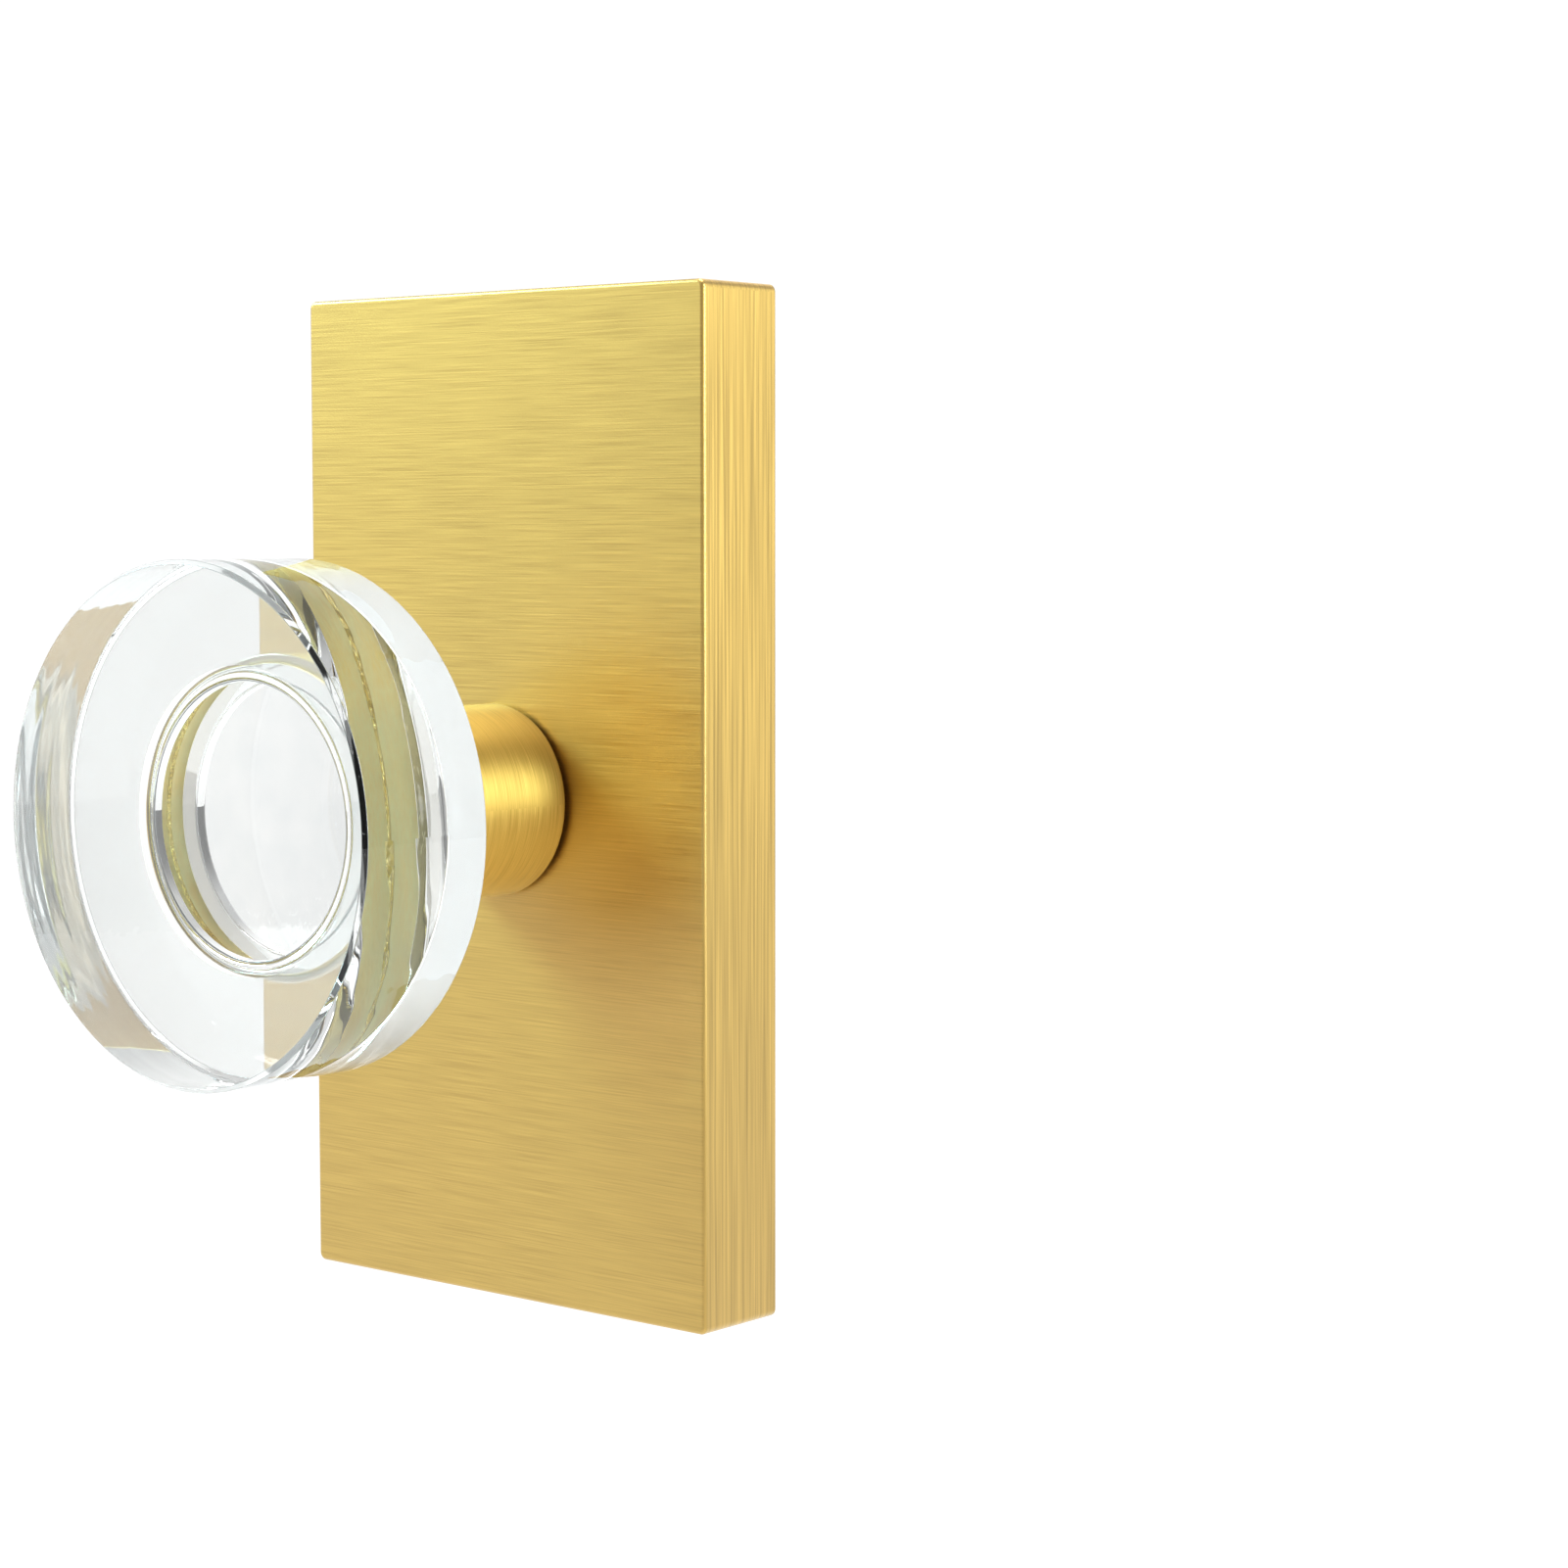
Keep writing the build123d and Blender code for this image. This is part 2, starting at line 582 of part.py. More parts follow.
with BuildPart() as circlip:
    with BuildSketch(FACE.offset(CIRCLIP_BACK)):
        Circle(CIRCLIP_R)
        Circle(CIRCLIP_SEAT_R + FIT, mode=Mode.SUBTRACT)
        Rectangle(CIRCLIP_GAP, CIRCLIP_R, align=(Align.CENTER, Align.MAX), mode=Mode.SUBTRACT)
        with PolarLocations(
            (CIRCLIP_R + CIRCLIP_SEAT_R) / 2,
            2,
            start_angle=-LUG_DIRECTION - CIRCLIP_EYE_ANGLE,
            angular_range=2 * CIRCLIP_EYE_ANGLE,
            endpoint=True,
        ):
            Circle(CIRCLIP_EYE_R, mode=Mode.SUBTRACT)
    extrude(amount=CIRCLIP_THICK)
circlip.part.label = "circlip"
export_step(circlip.part, "parts/circlip.step")

# ------------------------------------------------------------------ neck

with BuildPart() as neck:
    with BuildSketch(SIDE) as neck_profile:
        with BuildLine():
            Polyline(
                (0, NECK_START),
                (NECK_R, NECK_START),
                (NECK_R, CUP_BOTTOM),
                (CUP_OUTER_R, CUP_BOTTOM),
                (CUP_OUTER_R, CUP_RIM),
                (CUP_R, CUP_RIM),
                (CUP_R, CUP_FLOOR_OUT),
                (0, CUP_FLOOR_OUT),
                close=True,
            )
        make_face()
        fillet(corner(neck_profile, NECK_R, NECK_START), NECK_END_ROUND)
        fillet(corner(neck_profile, NECK_R, CUP_BOTTOM), NECK_JOIN_ROUND)
        fillet(corner(neck_profile, CUP_OUTER_R, CUP_BOTTOM), CUP_ROUND)
        fillet(corner(neck_profile, CUP_OUTER_R, CUP_RIM), CUP_WALL / 3)
    revolve(axis=Axis.Y)
    # bore of the shank, with flats at its end
    with BuildSketch(FACE.offset(NECK_START)):
        Circle(SHANK_R + FIT)
    extrude(amount=SHANK_KEY_START - NECK_START, mode=Mode.SUBTRACT)
    with BuildSketch(FACE.offset(SHANK_KEY_START)):
        add(double_d(SHANK_R + FIT, SHANK_FLATS + 2 * FIT))
    extrude(amount=SHANK_KEY, mode=Mode.SUBTRACT)
    # countersunk hole of the neck screw
    with BuildSketch(SIDE):
        with BuildLine():
            Polyline(
                (0, SHANK_TOP),
                (NECK_SCREW_R + SLIDE, SHANK_TOP),
                (NECK_SCREW_R + SLIDE, CUP_FLOOR_OUT - NECK_SCREW_HEAD - SLIDE),
                (NECK_SCREW_HEAD_R + SLIDE, CUP_FLOOR_OUT - SLIDE),
                (NECK_SCREW_HEAD_R + SLIDE, CUP_FLOOR_OUT),
                (0, CUP_FLOOR_OUT),
                close=True,
            )
        make_face()
    revolve(axis=Axis.Y, mode=Mode.SUBTRACT)
neck.part.label = "neck"
export_step(neck.part, "parts/neck.step")

# ------------------------------------------------------------------ neck screw

with BuildPart() as neck_screw:
    with BuildSketch(SIDE):
        with BuildLine():
            Polyline(
                (0, CUP_FLOOR_OUT - NECK_SCREW_LENGTH),
                (NECK_SCREW_R, CUP_FLOOR_OUT - NECK_SCREW_LENGTH),
                (NECK_SCREW_R, CUP_FLOOR_OUT - NECK_SCREW_HEAD - SLIDE),
                (NECK_SCREW_HEAD_R, CUP_FLOOR_OUT - 2 * SLIDE),
                (0, CUP_FLOOR_OUT - 2 * SLIDE),
                close=True,
            )
        make_face()
    revolve(axis=Axis.Y)
    with BuildSketch(FACE.offset(CUP_FLOOR_OUT - NECK_SCREW_SOCKET_DEPTH)):
        RegularPolygon(NECK_SCREW_SOCKET, SOCKET_SIDES)
    extrude(amount=NECK_SCREW_SOCKET_DEPTH, mode=Mode.SUBTRACT)
neck_screw.part.label = "neck_screw"
export_step(neck_screw.part, "parts/neck_screw.step")

# ------------------------------------------------------------------ mirror backing and bond

with BuildPart() as mirror_backing:
    with BuildSketch(FACE.offset(CUP_FLOOR_OUT)):
        Circle(FOOT_R - MIRROR_INSET)
    extrude(amount=MIRROR_THICK)
mirror_backing.part.label = "mirror_backing"
export_step(mirror_backing.part, "parts/mirror_backing.step")

with BuildPart() as bond_ring:
    with BuildSketch(FACE.offset(CUP_FLOOR_OUT)):
        Circle(CUP_R)
        Circle(FOOT_R, mode=Mode.SUBTRACT)
    extrude(amount=CUP_DEPTH - SLIDE)
bond_ring.part.label = "bond_ring"
export_step(bond_ring.part, "parts/bond_ring.step")

# ------------------------------------------------------------------ glass knob

with BuildPart() as glass_knob:
    with BuildSketch(SIDE) as glass_profile:
        with BuildLine():
            Polyline(
                (0, FOOT_END),
                (FOOT_R, FOOT_END),
                (FOOT_R, FOOT_END + FOOT_SEAT),
                (WAIST_R, FOOT_END + FOOT_SEAT + WAIST_SLOPE),
                (WAIST_R, GLASS_BACK),
                (GLASS_R, GLASS_BACK),
                (GLASS_R, GLASS_FRONT),
                (0, GLASS_FRONT),
                close=True,
            )
        make_face()
        fillet(corner(glass_profile, WAIST_R, GLASS_BACK), WAIST_FILLET)
        chamfer(corner(glass_profile, GLASS_R, GLASS_BACK), GLASS_EDGE_BEVEL)
        chamfer(corner(glass_profile, GLASS_R, GLASS_FRONT), GLASS_EDGE_BEVEL)
    revolve(axis=Axis.Y)
glass_knob.part.label = "glass_knob"
export_step(glass_knob.part, "parts/glass_knob.step")
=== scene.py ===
import math
import bpy
import numpy as np
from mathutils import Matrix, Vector


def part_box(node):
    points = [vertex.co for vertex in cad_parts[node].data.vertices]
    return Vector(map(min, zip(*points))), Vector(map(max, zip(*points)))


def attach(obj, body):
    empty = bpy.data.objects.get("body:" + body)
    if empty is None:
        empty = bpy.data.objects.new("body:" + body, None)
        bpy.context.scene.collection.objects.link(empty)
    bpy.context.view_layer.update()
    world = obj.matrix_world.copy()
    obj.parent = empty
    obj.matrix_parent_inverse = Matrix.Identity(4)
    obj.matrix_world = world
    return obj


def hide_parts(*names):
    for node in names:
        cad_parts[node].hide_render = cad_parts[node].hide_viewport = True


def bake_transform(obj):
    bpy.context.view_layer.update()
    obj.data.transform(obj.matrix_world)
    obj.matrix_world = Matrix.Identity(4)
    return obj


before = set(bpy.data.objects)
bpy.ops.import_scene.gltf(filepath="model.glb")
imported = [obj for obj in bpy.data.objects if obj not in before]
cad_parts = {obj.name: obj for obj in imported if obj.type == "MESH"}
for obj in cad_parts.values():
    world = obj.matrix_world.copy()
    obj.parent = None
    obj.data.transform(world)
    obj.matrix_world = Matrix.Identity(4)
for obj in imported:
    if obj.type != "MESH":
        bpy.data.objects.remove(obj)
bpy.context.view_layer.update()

# A glass door knob on a brushed brass plate. Metres, in the frame of the CAD model: the knob
# turns about Y, +Y points into the door, and OUT is a distance from the door face along -Y.

MM = 0.001

# ---------------------------------------------------------------- places read from the frame

glass_low, glass_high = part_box("glass_knob")
plate_low, plate_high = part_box("cover_plate")
neck_low, neck_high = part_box("neck")
mirror_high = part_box("mirror_backing")[1]
bond_low, bond_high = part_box("bond_ring")
shank_low, shank_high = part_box("shank")
bush_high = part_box("front_bush")[1]
wire_low, wire_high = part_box("return_spring")

GLASS_R = glass_high.x
GLASS_FRONT = -glass_low.y
FOOT_END = -glass_high.y
PLATE_HALF_WIDTH = plate_high.x
PLATE_HALF_HEIGHT = plate_high.z
PLATE_DEPTH = -plate_low.y
CUP_OUTER_R = neck_high.x
CUP_RIM = -neck_low.y
NECK_START = -neck_high.y
CUP_R = bond_high.x
CUP_FLOOR = -mirror_high.y
SHANK_TOP = -shank_low.y
SHANK_R = shank_high.z

# ---------------------------------------------------------------- sizes of the shown surfaces

GLASS_THICK = 19.2 * MM
GLASS_BEVEL = 0.50 * MM
GLASS_ARRIS = 0.13 * MM
FOOT_R = 18.3 * MM
FOOT_SEAT = 4.4 * MM
FOOT_BEVEL = 0.38 * MM
WAIST_R = 16.3 * MM
WAIST_FILLET = 1.9 * MM
WAIST_SLOPE = 0.8 * MM
WAIST_ROUND = 0.5 * MM
NECK_R = 12.1 * MM
NECK_END_ROUND = 0.6 * MM
NECK_JOIN_ROUND = 1.4 * MM
CUP_FLOOR_THICK = 2.0 * MM
CUP_ROUND = 1.2 * MM
CUP_LIP_ROUND = 0.25 * MM
SCREW_HEAD_R = 4.7 * MM
SCREW_R = 2.6 * MM
SCREW_HEAD = 2.5 * MM
PLATE_FRONT_WALL = 2.5 * MM
PLATE_SIDE_WALL = 2.2 * MM
PLATE_CORNER_R = 1.0 * MM
PLATE_INNER_R = 0.6 * MM
PLATE_BEVEL = 0.5 * MM
PLATE_BACK_EDGE = 0.15 * MM
BUSH_SEAT_R = bush_high.x - 2.35 * MM
WIRE_R = 0.6 * MM
COIL_R = wire_high.x - WIRE_R
COIL_START = 3.3 * MM
COIL_END = 6.4 * MM
COIL_TURNS = 2.4
WIRE_BEND = 1.0 * MM
COIL_POINTS = 160
BEND_POINTS = 9
WIRE_SIDES = 24
HOLE_LIP = 0.25 * MM
HOLE_SIDES = 48
CUT_PAST = 1 * MM
THIN_GAP = 0.02 * MM
TOUCH_GAP = 0.01 * MM
NECK_BORE_GAP = 0.06 * MM
SCREW_CLEARANCE = 0.2 * MM
EDGE_ROUND = 0.1 * MM
SUPPORT = 0.03 * MM
ARC_STEPS = 8
TURNED_STEPS = 256
BACK_OF_GLASS = GLASS_FRONT - GLASS_THICK

# ---------------------------------------------------------------- surface makers


def rounded_profile(corners, closed=False):
    """An outline through (radius, out, rounding) corners.

    A corner with a rounding becomes an arc that touches both of its sides. Each straight
    run gets a point just inside both of its ends, so that smooth shading stays flat on it.
    """
    spots = np.array([c[:2] for c in corners], float)
    count = len(spots)
    blocks = []
    for i, (_, _, rounding) in enumerate(corners):
        here = spots[i]
        if rounding == 0:
            blocks.append(here[None])
            continue
        to_last = spots[i - 1] - here
        to_next = spots[(i + 1) % count] - here
        to_last = to_last / np.linalg.norm(to_last)
        to_next = to_next / np.linalg.norm(to_next)
        half = math.acos(np.clip(to_last @ to_next, -1, 1)) / 2
        middle = to_last + to_next
        centre = here + middle / np.linalg.norm(middle) * rounding / math.sin(half)
        first = here + to_last * rounding / math.tan(half) - centre
        last = here + to_next * rounding / math.tan(half) - centre
        sweep = math.pi - 2 * half
        side = (last - first * math.cos(sweep)) / math.sin(sweep)
        turn = np.linspace(0, sweep, ARC_STEPS + 1)[:, None]
        blocks.append(centre + first * np.cos(turn) + side * np.sin(turn))
    line = []
    for i, block in enumerate(blocks):
        line.append(block)
        if i + 1 == count and not closed:
            break
        start, end = block[-1], blocks[(i + 1) % count][0]
        length = np.linalg.norm(end - start)
        if length > 4 * SUPPORT:
            step = (end - start) / length * SUPPORT
            line.append(np.array([start + step, end - step]))
    return np.concatenate(line)


def make_piece(name, points, faces, corner_uv, paint):
    """A mesh object from vertex, face and corner arrays, turned so that its faces point out."""
    tris = np.concatenate([f[:, [0, k, k + 1]] for f in faces for k in range(1, f.shape[1] - 1)])
    a, b, c = points[tris[:, 0]], points[tris[:, 1]], points[tris[:, 2]]
    if np.einsum("ij,ij->i", a, np.cross(b, c)).sum() < 0:
        faces = [f[:, ::-1] for f in faces]
        corner_uv = [uv[:, ::-1] for uv in corner_uv]
    mesh = bpy.data.meshes.new(name)
    mesh.from_pydata(points.tolist(), [], [face for f in faces for face in f.tolist()])
    layer = mesh.uv_layers.new(name="grain")
    flat = np.concatenate([uv.reshape(-1, 2) for uv in corner_uv])
    layer.uv.foreach_set("vector", flat.astype(np.float32).ravel())
    mesh.shade_smooth()
    piece = bpy.data.objects.new(name, mesh)
    bpy.context.scene.collection.objects.link(piece)
    mesh.materials.append(paint)
    return piece


def skin(name, rings, uv, paint, caps=None):
    """A closed surface over rings of points.

    rings is m by n by 3, each ring closed on itself. uv is strips by 2 by n+1 by 2: the
    grain coordinates along both edges of each strip. With caps, a pair of points, the first
    and last rings are closed by fans; without them the last ring joins the first.
    """
    m, n, _ = rings.shape
    strips = m if caps is None else m - 1
    points = rings.reshape(-1, 3)
    i = np.arange(strips)[:, None]
    j = np.arange(n)[None, :]
    k = (j + 1) % n
    above = (i + 1) % m
    quads = np.stack([i * n + j, i * n + k, above * n + k, above * n + j], -1).reshape(-1, 4)
    quad_uv = np.stack([uv[:, 0, :-1], uv[:, 0, 1:], uv[:, 1, 1:], uv[:, 1, :-1]], 2)
    faces = [quads]
    corner_uv = [quad_uv.reshape(-1, 4, 2)]
    if caps is not None:
        j, k = j[0], k[0]
        for ring, centre, edge in ((0, caps[0], uv[0, 0]), (m - 1, caps[1], uv[-1, 1])):
            points = np.concatenate([points, [centre]])
            hub = np.full(n, len(points) - 1)
            pair = (k, j) if ring == 0 else (j, k)
            faces.append(np.stack([ring * n + pair[0], ring * n + pair[1], hub], -1))
            ends = (edge[1:], edge[:-1]) if ring == 0 else (edge[:-1], edge[1:])
            inner = (edge[1:] + edge[:-1]) / 2
            reach = np.linalg.norm(rings[ring, 0] - np.asarray(centre))
            inner = inner + np.array([0, -reach if ring == 0 else reach])
            corner_uv.append(np.stack([ends[0], ends[1], inner], 1))
    return make_piece(name, points, faces, corner_uv, paint)


def turned(name, profile, paint, centre=(0, 0), steps=TURNED_STEPS, solid=False):
    """A profile of (radius, out) points swept round an axis along Y through centre (x, z).

    x = cx + radius cos t, y = -out, z = cz + radius sin t. The grain runs round the piece: u
    is the arc length at the piece's largest radius, and v the length along the profile.
    A solid piece's profile starts and ends on the axis, and those two points are poles.
    """
    body = profile[1:-1] if solid else profile
    angle = np.linspace(0, 2 * math.pi, steps, endpoint=False)
    radius, out = body[:, 0, None], body[:, 1, None]
    rings = np.stack(
        [
            centre[0] + radius * np.cos(angle),
            -out + 0 * angle,
            centre[1] + radius * np.sin(angle),
        ],
        -1,
    )
    loop = body if solid else np.concatenate([body, body[:1]])
    length = np.concatenate([[0], np.cumsum(np.linalg.norm(np.diff(loop, axis=0), axis=1))])
    around = np.linspace(0, 2 * math.pi * body[:, 0].max(), steps + 1)
    low, high = length[:-1], length[1:]
    uv = np.zeros((len(low), 2, steps + 1, 2))
    uv[..., 0] = around
    uv[:, 0, :, 1] = low[:, None]
    uv[:, 1, :, 1] = high[:, None]
    if not solid:
        return skin(name, rings, uv, paint)
    ends = [(centre[0], -profile[k, 1], centre[1]) for k in (0, -1)]
    return skin(name, rings, uv, paint, caps=ends)


def rounded_rectangle(half_width, half_height, radius, side_steps=12):
    """Points (x, z) round a rectangle whose corners are quarter circles, from the right side up."""
    quarter = np.linspace(0, math.pi / 2, ARC_STEPS + 1)
    run = (np.arange(1, side_steps) / side_steps)[:, None]
    corners = []
    for k, (sx, sz) in enumerate(((1, 1), (-1, 1), (-1, -1), (1, -1))):
        centre = np.array([sx * (half_width - radius), sz * (half_height - radius)])
        turn = quarter + k * math.pi / 2
        corners.append(centre + radius * np.stack([np.cos(turn), np.sin(turn)], -1))
    line = []
    for k, arc in enumerate(corners):
        nearest = corners[(k + 1) % 4][0]
        line += [arc, arc[-1] + (nearest - arc[-1]) * run]
    return np.concatenate(line)


def face_values(mesh, what):
    """The centre or the normal of each face, one row of x, y and z to a face."""
    values = np.zeros(len(mesh.polygons) * 3)
    mesh.polygons.foreach_get(what, values)
    return values.reshape(-1, 3)


def cut(piece, cutter):
    """The piece with the cutter's space taken out of it."""
    step = piece.modifiers.new("cut", "BOOLEAN")
    step.operation = "DIFFERENCE"
    step.solver = "EXACT"
    step.object = cutter
    bpy.context.view_layer.update()
    seen = piece.evaluated_get(bpy.context.evaluated_depsgraph_get())
    mesh = bpy.data.meshes.new_from_object(seen)
    piece.modifiers.remove(step)
    piece.data = mesh
    bpy.data.objects.remove(cutter)
    return piece


# ---------------------------------------------------------------- finishes

# The noise keeps mostly within the wide span. The close span leaves more of it at either end.
WIDE_SPAN = (0.3, 0.7)
CLOSE_SPAN = (0.35, 0.65)


def finish(name, **sockets):
    """A new material and its shader, with constant values set on the shader's own sockets."""
    paint = bpy.data.materials.new(name)
    paint.use_nodes = True
    shader = paint.node_tree.nodes["Principled BSDF"]
    for label, value in sockets.items():
        shader.inputs[label.replace("_", " ")].default_value = value
    return paint, paint.node_tree, shader


def add(tree, kind, settings=(), **inputs):
    """A node with its settings, and its inputs given as values or as sockets to link."""
    made = tree.nodes.new(kind)
    for label, value in dict(settings).items():
        setattr(made, label, value)
    for label, value in inputs.items():
        key = int(label[1:]) if label[0] == "i" and label[1:].isdigit() else label.replace("_", " ")
        if isinstance(value, bpy.types.NodeSocket):
            tree.links.new(value, made.inputs[key])
        else:
            made.inputs[key].default_value = value
    return made


def math_node(tree, operation, a, b=0.0):
    """The result of one sum on two numbers or sockets."""
    return add(tree, "ShaderNodeMath", {"operation": operation}, i0=a, i1=b).outputs[0]


def grain_place(tree):
    """The piece's own grain coordinates, u along the brush and v across it, in metres."""
    return add(tree, "ShaderNodeUVMap", {"uv_map": "grain"}).outputs["UV"]


def object_place(tree):
    """A place in the piece's own frame, in metres."""
    return add(tree, "ShaderNodeTexCoord").outputs["Object"]


def streaks(tree, place, along, across, detail=2.0, third=1.0, seat=(0, 0, 0)):
    """Noise drawn out along the grain: along and across are how many of its cells fill a metre."""
    moved = add(tree, "ShaderNodeMapping", Vector=place, Scale=(along, across, third), Location=seat)
    noise = add(
        tree, "ShaderNodeTexNoise", Vector=moved.outputs[0], Scale=1.0, Detail=detail, Roughness=0.55
    )
    return noise.outputs["Fac"]


def spread(tree, value, low, high, to_low, to_high):
    """The value's range low to high drawn out to to_low to to_high."""
    made = add(
        tree,
        "ShaderNodeMapRange",
        Value=value,
        From_Min=low,
        From_Max=high,
        To_Min=to_low,
        To_Max=to_high,
    )
    return made.outputs[0]


def blended(tree, *shares):
    """The sum of several values, each taken with its own weight."""
    total = 0.0
    for value, weight in shares:
        total = math_node(tree, "ADD", total, math_node(tree, "MULTIPLY", value, weight))
    return total


def tint(tree, factor, dark, light):
    """A colour between dark and light."""
    mix = add(tree, "ShaderNodeMix", {"data_type": "RGBA"}, i0=factor, i6=(*dark, 1), i7=(*light, 1))
    return mix.outputs[2]


def clouds(tree, place, count, detail=2.0, seat=(0, 0, 0)):
    """Even noise, with count cells to the metre each way."""
    return streaks(tree, place, count, count, detail, third=count, seat=seat)


def roughen(tree, shader, strength, depth, height):
    """A bump on the shader, in which the height's swing from 0 to 1 stands for depth."""
    bump = add(tree, "ShaderNodeBump", Strength=strength, Distance=depth, Height=height)
    tree.links.new(bump.outputs[0], shader.inputs["Normal"])


def dress(tree, shader, colour, rough, relief=None):
    """Colour and roughness linked to the shader, and relief as (strength, depth, height)."""
    tree.links.new(colour, shader.inputs["Base Color"])
    tree.links.new(rough, shader.inputs["Roughness"])
    if relief:
        roughen(tree, shader, *relief)


def brushed_brass(name, along, across, dark, light, lacquer=0.3, rough=(0.36, 0.48), relief=0.02 * MM):
    """Brass under lacquer: fine brush or lathe lines, relief deep, over wider, fainter bands."""
    paint, tree, shader = finish(
        name,
        Metallic=1.0,
        Anisotropic=0.6,
        Anisotropic_Rotation=0.25,
        Coat_Weight=1.0,
        Coat_Roughness=lacquer,
    )
    place = grain_place(tree)
    fine = streaks(tree, place, along, across, 3.0)
    wide = streaks(tree, place, along * 0.3, across * 0.25, 2.0, seat=(3, 7, 0))
    cloud = streaks(tree, place, 30.0, 45.0, 2.0, seat=(11, 5, 0))
    tone = blended(tree, (fine, 0.75), (wide, 0.15), (cloud, 0.1))
    colour = tint(tree, spread(tree, tone, 0.32, 0.68, 0.0, 1.0), dark, light)
    dress(tree, shader, colour, spread(tree, fine, *WIDE_SPAN, *rough), (0.6, relief, fine))
    lay = add(tree, "ShaderNodeTangent", {"direction_type": "UV_MAP", "uv_map": "grain"})
    tree.links.new(lay.outputs[0], shader.inputs["Tangent"])
    return paint


def clear_glass(name, colour, haze=0.0, wave=None):
    """Polished crown glass, with a faint white haze, or with waves left by the polishing wheel.

    The waves run round the piece: wave is their count to the metre along and across the grain,
    and their height.
    """
    paint, tree, shader = finish(name, Base_Color=(*colour, 1), Transmission_Weight=1.0 - haze, IOR=1.52)
    dust = clouds(tree, object_place(tree), 900.0)
    tree.links.new(spread(tree, dust, 0.62, 0.8, 0.0, 0.02), shader.inputs["Roughness"])
    if wave:
        along, across, height = wave
        roughen(tree, shader, 1.0, height, streaks(tree, grain_place(tree), along, across, 1.0))
    return paint


def silvering():
    """Bright silver under the foot of the glass, with faint specks and a soft haze."""
    paint, tree, shader = finish("silvering", Metallic=1.0)
    place = object_place(tree)
    haze = spread(tree, clouds(tree, place, 160.0), *WIDE_SPAN, 0, 1)
    speck = clouds(tree, place, 1500.0, 1.0)
    colour = tint(tree, haze, (0.93, 0.945, 0.95), (0.985, 0.99, 0.99))
    dress(tree, shader, colour, spread(tree, speck, 0.6, 0.8, 0.015, 0.12))
    return paint


def gold_resin(name, dark, light, rough, flake_height):
    """Resin over brass, seen through the glass: soft gold and green bands, sparkling flakes."""
    paint, tree, shader = finish(name, Metallic=0.9)
    place = object_place(tree)
    flake = add(tree, "ShaderNodeTexVoronoi", Vector=place, Scale=2600.0).outputs["Distance"]
    cloud = clouds(tree, place, 120.0)
    pool = clouds(tree, place, 90.0, 1.0, seat=(4, 9, 2))
    mixed = blended(tree, (flake, 0.15), (cloud, 1.0))
    gold = tint(tree, spread(tree, mixed, 0.40, 0.75, 0, 1), dark, light)
    green = (light[0] * 0.93, light[1] * 1.02, light[2] * 1.05, 1)
    share = spread(tree, pool, 0.50, 0.62, 0.0, 0.6)
    mix = add(tree, "ShaderNodeMix", {"data_type": "RGBA"}, i0=share, i6=gold, i7=green)
    polish = spread(tree, cloud, *CLOSE_SPAN, *rough)
    dress(tree, shader, mix.outputs[2], polish, (0.8, flake_height, flake))
    return paint


def turned_steel():
    """Lathe-turned steel: fine rings about the knob's axis and a faint cloud of colour."""
    paint, tree, shader = finish("turned_steel", Metallic=1.0)
    place = object_place(tree)
    x, y, z = add(tree, "ShaderNodeSeparateXYZ", Vector=place).outputs
    squares = math_node(tree, "ADD", math_node(tree, "POWER", x, 2.0), math_node(tree, "POWER", z, 2.0))
    radius = math_node(tree, "SQRT", squares)
    ring = add(tree, "ShaderNodeCombineXYZ", X=radius, Y=y, Z=math_node(tree, "MULTIPLY", x, 0.01))
    fine = clouds(tree, ring.outputs[0], 5200.0)
    tone = blended(tree, (fine, 0.6), (clouds(tree, place, 140.0), 0.4))
    colour = tint(tree, spread(tree, tone, *CLOSE_SPAN, 0, 1), (0.42, 0.43, 0.44), (0.66, 0.67, 0.68))
    dress(tree, shader, colour, spread(tree, fine, *WIDE_SPAN, 0.24, 0.4), (0.3, 0.03 * MM, fine))
    return paint


def drawn_steel():
    """Cold-drawn bar: long scratches along Y and a slight brown cast in places."""
    paint, tree, shader = finish("drawn_steel", Metallic=1.0)
    place = object_place(tree)
    fine = streaks(tree, place, 4200.0, 60.0, 3.0, third=4200.0)
    cloud = streaks(tree, place, 120.0, 60.0, 3.0, third=120.0)
    tone = blended(tree, (fine, 0.5), (cloud, 0.5))
    colour = tint(tree, spread(tree, tone, *CLOSE_SPAN, 0, 1), (0.36, 0.35, 0.34), (0.62, 0.62, 0.62))
    dress(tree, shader, colour, spread(tree, fine, *WIDE_SPAN, 0.22, 0.42), (0.3, 0.03 * MM, fine))
    return paint


def zinc_sheet():
    """Bright zinc plating on rolled sheet: crystal spangle over rolling marks along Z."""
    paint, tree, shader = finish("zinc_sheet", Metallic=1.0)
    place = object_place(tree)
    spangle = add(tree, "ShaderNodeTexVoronoi", Vector=place, Scale=420.0)
    hue = add(tree, "ShaderNodeSeparateColor", Color=spangle.outputs["Color"])
    roll = streaks(tree, place, 2600.0, 2600.0, 2.0, third=50.0)
    tone = blended(tree, (hue.outputs[0], 0.35), (roll, 0.65))
    colour = tint(tree, spread(tree, tone, 0.2, 0.85, 0, 1), (0.52, 0.55, 0.58), (0.78, 0.80, 0.80))
    dress(tree, shader, colour, spread(tree, tone, 0.2, 0.85, 0.26, 0.44), (0.25, 0.03 * MM, roll))
    return paint


